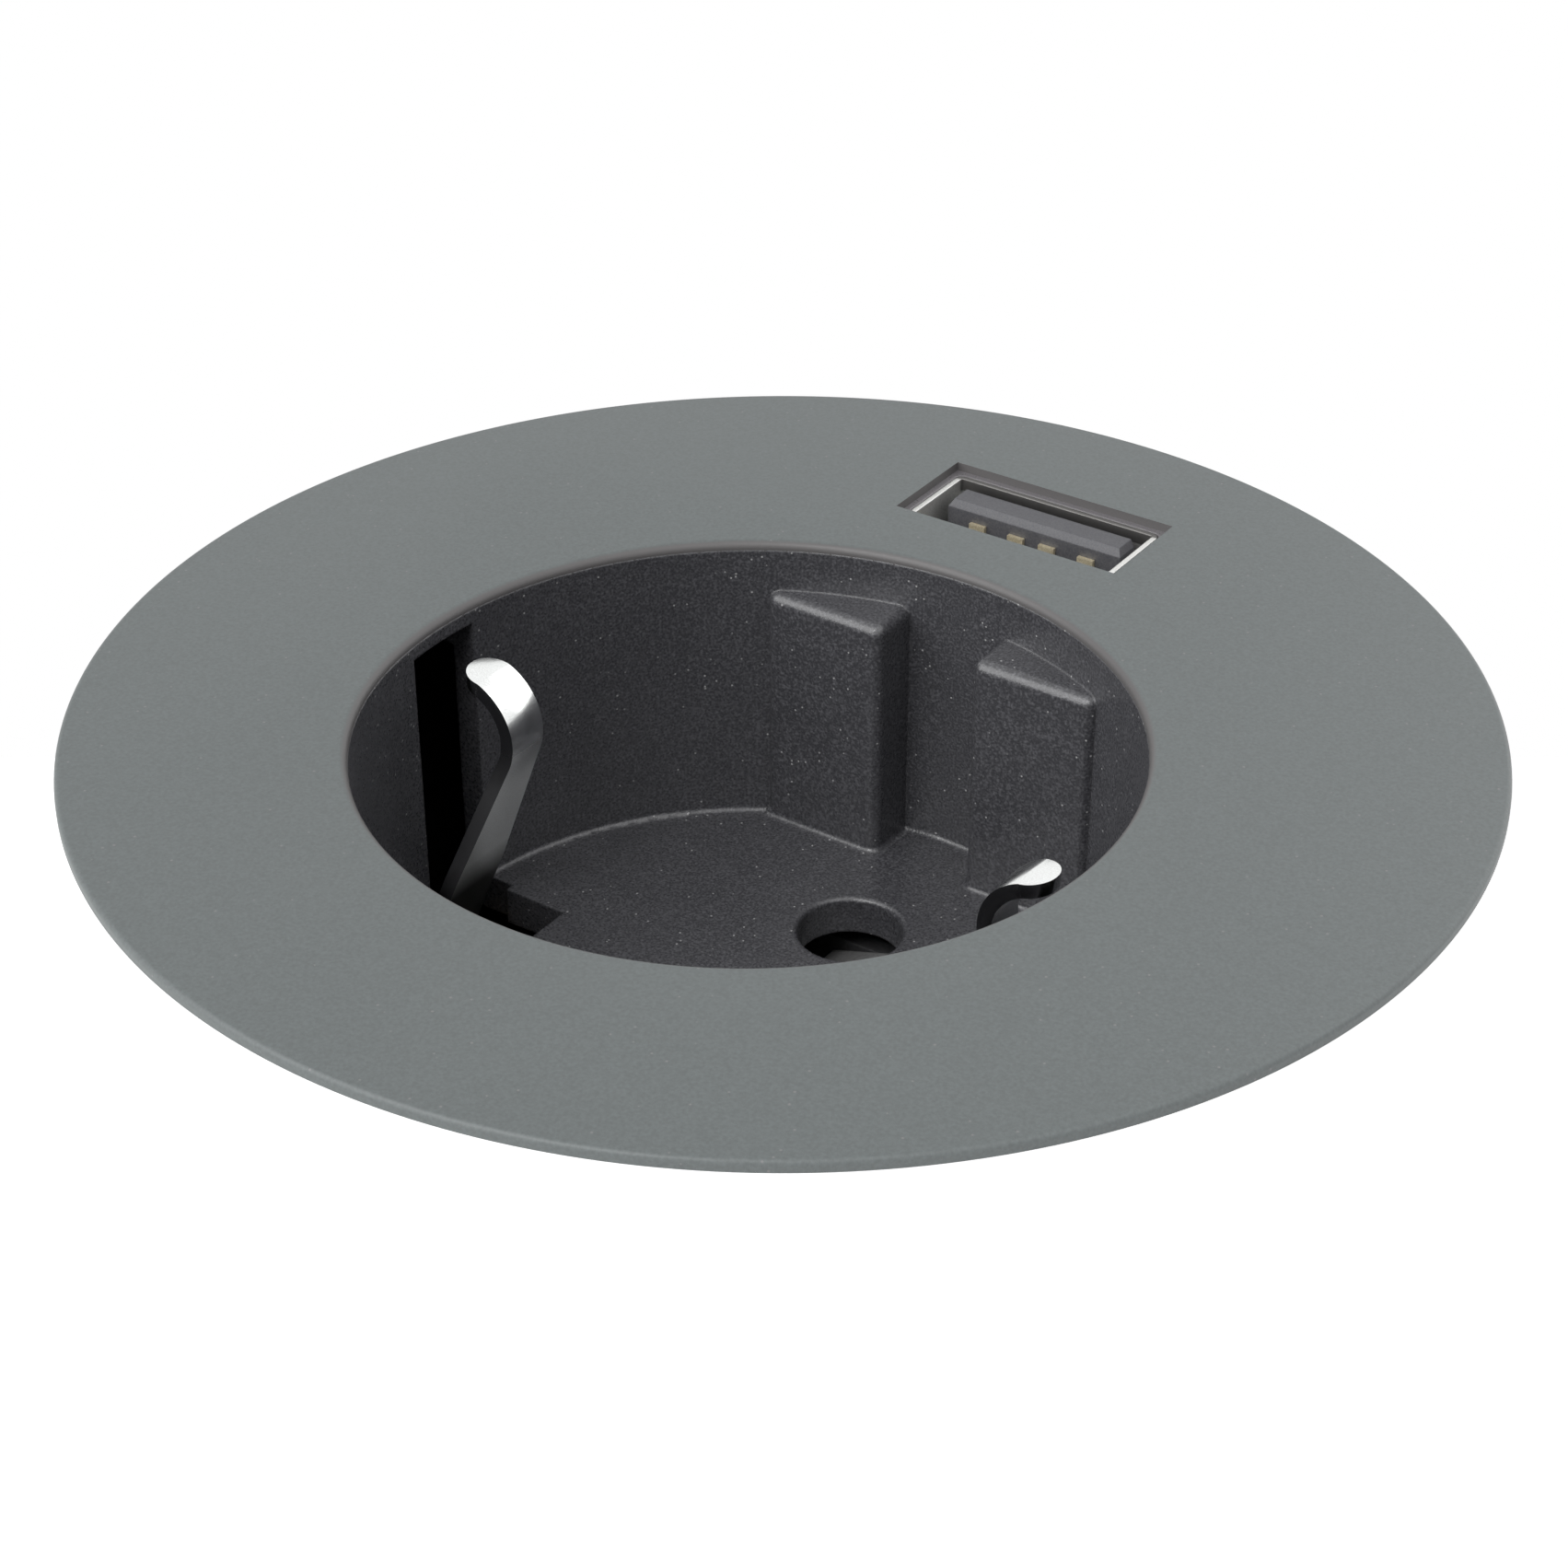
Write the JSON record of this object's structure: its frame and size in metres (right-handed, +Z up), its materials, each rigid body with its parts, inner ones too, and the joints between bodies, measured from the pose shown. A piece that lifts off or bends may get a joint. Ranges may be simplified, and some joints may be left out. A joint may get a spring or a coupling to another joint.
{
  "type": "desk socket",
  "caption": "Round desk socket: thin flange, off-centre earthed mains well with sprung side clips and shutter, USB-A charging port, clamped from below by a ring nut.",
  "frame": {"origin": "centre of the flange's underside, the face that seats on the desk", "axes": "+Z up out of the desk, +Y from the socket well towards the charging port"},
  "size_m": [0.078, 0.078, 0.053],
  "materials": {
    "flange_paint": "satin paint with a very fine metallic grain",
    "well_plastic": "fine spark-eroded texture",
    "spring_steel": "polished, nickel plated",
    "shutter_plastic": "smooth black",
    "steel": "zinc plated",
    "carrier_plastic": "moulded, semi-gloss",
    "brass": "stamped",
    "port_steel": "nickel plated sheet",
    "tongue_plastic": "moulded",
    "gold_plate": "gold plated",
    "circuit_board": "solder mask",
    "ferrite": "sintered",
    "winding_tape": "polyester tape",
    "capacitor_sleeve": "shrink sleeve",
    "lead_sleeve": "insulated lead",
    "housing_plastic": "moulded, fine matt texture",
    "rubber": "moulded"
  },
  "bodies": {
    "root": {"trim_plate": "flange_paint", "front_moulding": "well_plastic", "shutter_spring": "steel", "contact_carrier": "carrier_plastic", "carrier_screws": "steel", "line_contact": "brass", "neutral_contact": "brass", "earth_bar": "brass", "earth_rivets": "brass", "terminal_block": "housing_plastic", "terminal_screws": "steel", "mains_leads": "lead_sleeve", "usb_shell": "port_steel", "usb_insulator": "tongue_plastic", "usb_contacts": "gold_plate", "usb_board": "circuit_board", "usb_board_screws": "steel", "power_board": "circuit_board", "power_board_screws": "steel", "transformer_core": "ferrite", "transformer_winding": "winding_tape", "capacitors": "capacitor_sleeve", "usb_leads": "lead_sleeve", "housing": "housing_plastic", "housing_screws": "steel", "base_cover": "housing_plastic", "base_screws": "steel", "cord_grommet": "rubber", "cord_clamp": "housing_plastic", "cord_clamp_screws": "steel"},
    "left_clip": {"earth_clip_left": "spring_steel"},
    "right_clip": {"earth_clip_right": "spring_steel"},
    "shutter": {"shutter": "shutter_plastic"},
    "washer": {"clamp_washer": "steel"},
    "nut": {"ring_nut": "housing_plastic"}
  },
  "joints": [
    {"name": "right_clip_flex", "type": "hinge", "parent": "root", "child": "right_clip", "pos_m": [0.02064, -0.003, -0.0196], "axis": [0, 1, 0], "range_deg": [0, 8], "stiffness_Nm_per_rad": 0.2},
    {"name": "left_clip_flex", "type": "hinge", "parent": "root", "child": "left_clip", "pos_m": [-0.02064, -0.003, -0.0196], "axis": [0, -1, 0], "range_deg": [0, 8], "stiffness_Nm_per_rad": 0.2},
    {"name": "shutter_slide", "type": "slide", "parent": "root", "child": "shutter", "axis": [1, 0, 0], "range_m": [0, 0.006], "stiffness_N_per_m": 60, "springref_m": -0.002, "deforming": ["shutter_spring"]},
    {"name": "washer_slide", "type": "slide", "parent": "root", "child": "washer", "axis": [0, 0, 1], "range_m": [-0.016, 0.011]},
    {"name": "nut_turn", "type": "hinge", "parent": "washer", "child": "nut", "pos_m": [0, 0, -0.027], "axis": [0, 0, 1], "range_deg": [-962, 662]}
  ],
  "couplings": [
    {"joint": "nut_turn", "follows": "washer_slide", "rad_per_m": 1047.2}
  ]
}
